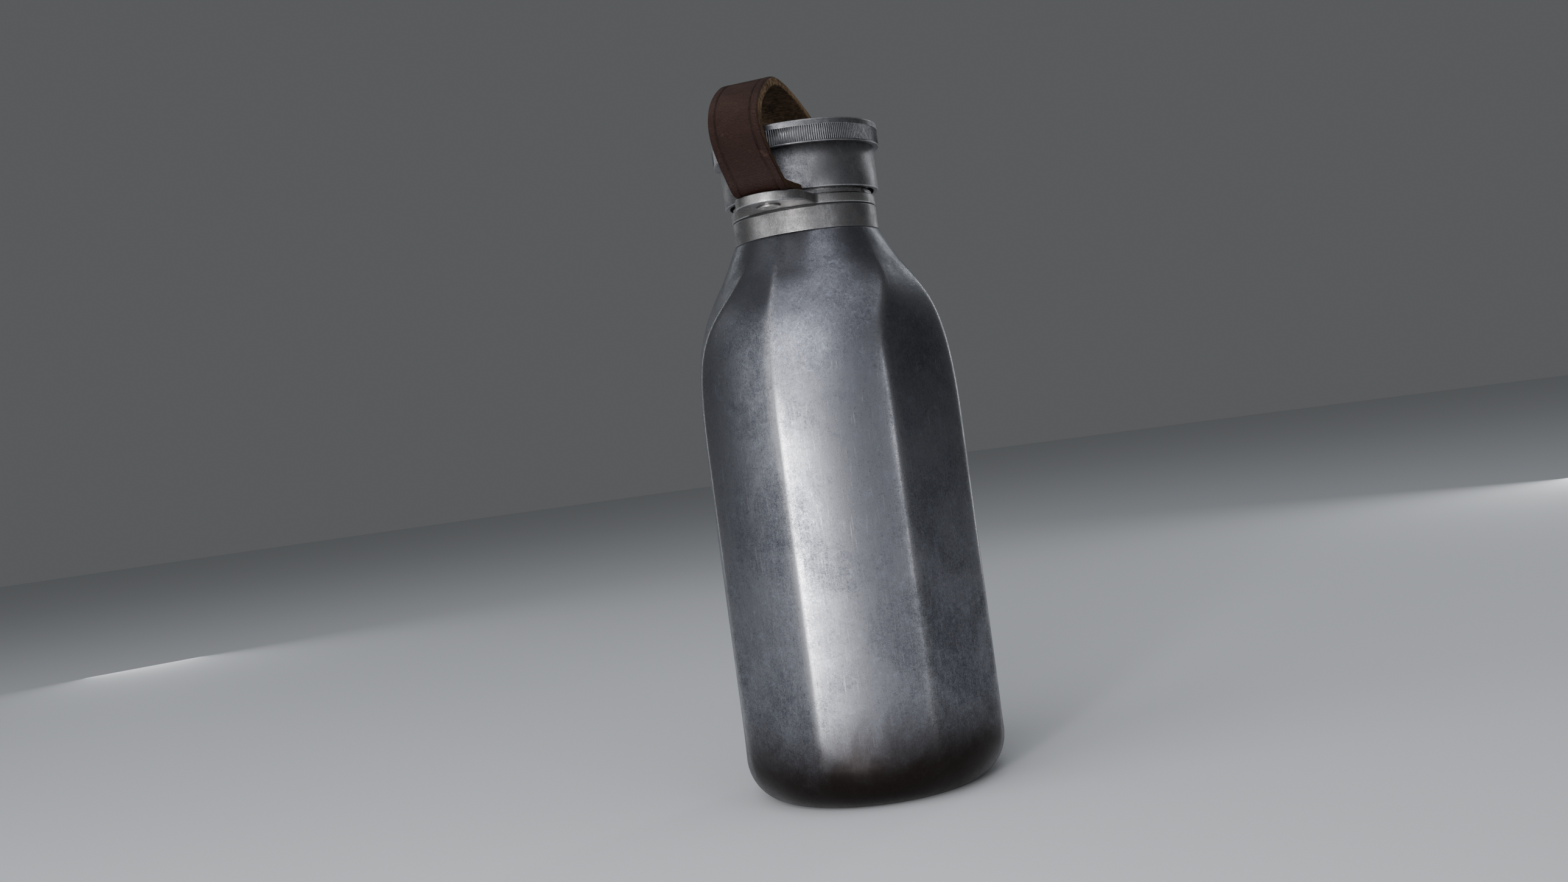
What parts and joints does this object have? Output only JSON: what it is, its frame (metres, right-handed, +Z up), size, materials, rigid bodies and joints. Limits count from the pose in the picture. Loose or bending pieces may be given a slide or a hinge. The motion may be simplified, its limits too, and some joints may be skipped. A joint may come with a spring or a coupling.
{
  "type": "canteen",
  "caption": "Faceted steel canteen with a screw cap, knurled grip ring, turning neck collar with two ears, and a riveted leather carry loop arched over the cap.",
  "frame": {"origin": "on the bottle's axis, on the plane that it stands on", "axes": "+Z up along the bottle's axis; the collar's two ears point to -Y and +Y"},
  "size_m": [0.0744, 0.0748, 0.2003],
  "materials": {
    "body_steel": "worn brushed stainless steel, dark and blotchy",
    "neck_steel": "worn brushed stainless steel",
    "collar_steel": "worn satin stainless steel",
    "clip_steel": "spring steel",
    "rivet_steel": "satin steel",
    "seal_steel": "clean satin stainless steel",
    "cap_steel": "worn brushed stainless steel",
    "grip_steel": "worn steel with a fine straight knurl",
    "washer_plastic": "black nylon",
    "liner_plastic": "dark polypropylene",
    "gasket_rubber": "translucent white silicone",
    "strap_leather": "waxed dark brown leather, raw tan edges and flesh side"
  },
  "bodies": {
    "bottle": {"bottle_shell": "body_steel", "base_disc": "body_steel", "neck_band": "neck_steel", "spout": "neck_steel", "slip_washer": "washer_plastic", "collar_clip": "clip_steel"},
    "collar": {"carry_collar": "collar_steel", "strap_front_foot": "strap_leather", "strap_rear_foot": "strap_leather", "front_rivet": "rivet_steel", "rear_rivet": "rivet_steel", "front_rivet_cap": "rivet_steel", "rear_rivet_cap": "rivet_steel", "strap_front_leg": "strap_leather", "strap_rear_leg": "strap_leather"},
    "strap": {"strap_loop": "strap_leather"},
    "seal": {"seal_disc": "seal_steel", "seal_gasket": "gasket_rubber"},
    "cap": {"cap_barrel": "cap_steel", "cap_grip_ring": "grip_steel", "cap_top_disc": "cap_steel", "cap_liner": "liner_plastic"}
  },
  "joints": [
    {"name": "collar_turn", "type": "hinge", "parent": "bottle", "child": "collar", "pos_m": [0, 0, 0.1618], "axis": [0, 0, 1], "continuous": true},
    {"name": "strap_swing", "type": "hinge", "parent": "collar", "child": "strap", "pos_m": [0, 0, 0.16445], "axis": [0, 1, 0], "range_deg": [-45, 75], "deforming": ["strap_front_leg", "strap_rear_leg"]},
    {"name": "cap_lift", "type": "slide", "parent": "bottle", "child": "seal", "axis": [0, 0, 1], "range_m": [0, 0.004]},
    {"name": "cap_turn", "type": "hinge", "parent": "seal", "child": "cap", "pos_m": [0, 0, 0.179], "axis": [0, 0, 1], "range_deg": [0, 360]}
  ],
  "couplings": [
    {"joint": "cap_lift", "follows": "cap_turn", "m_per_rad": 0.000636}
  ]
}
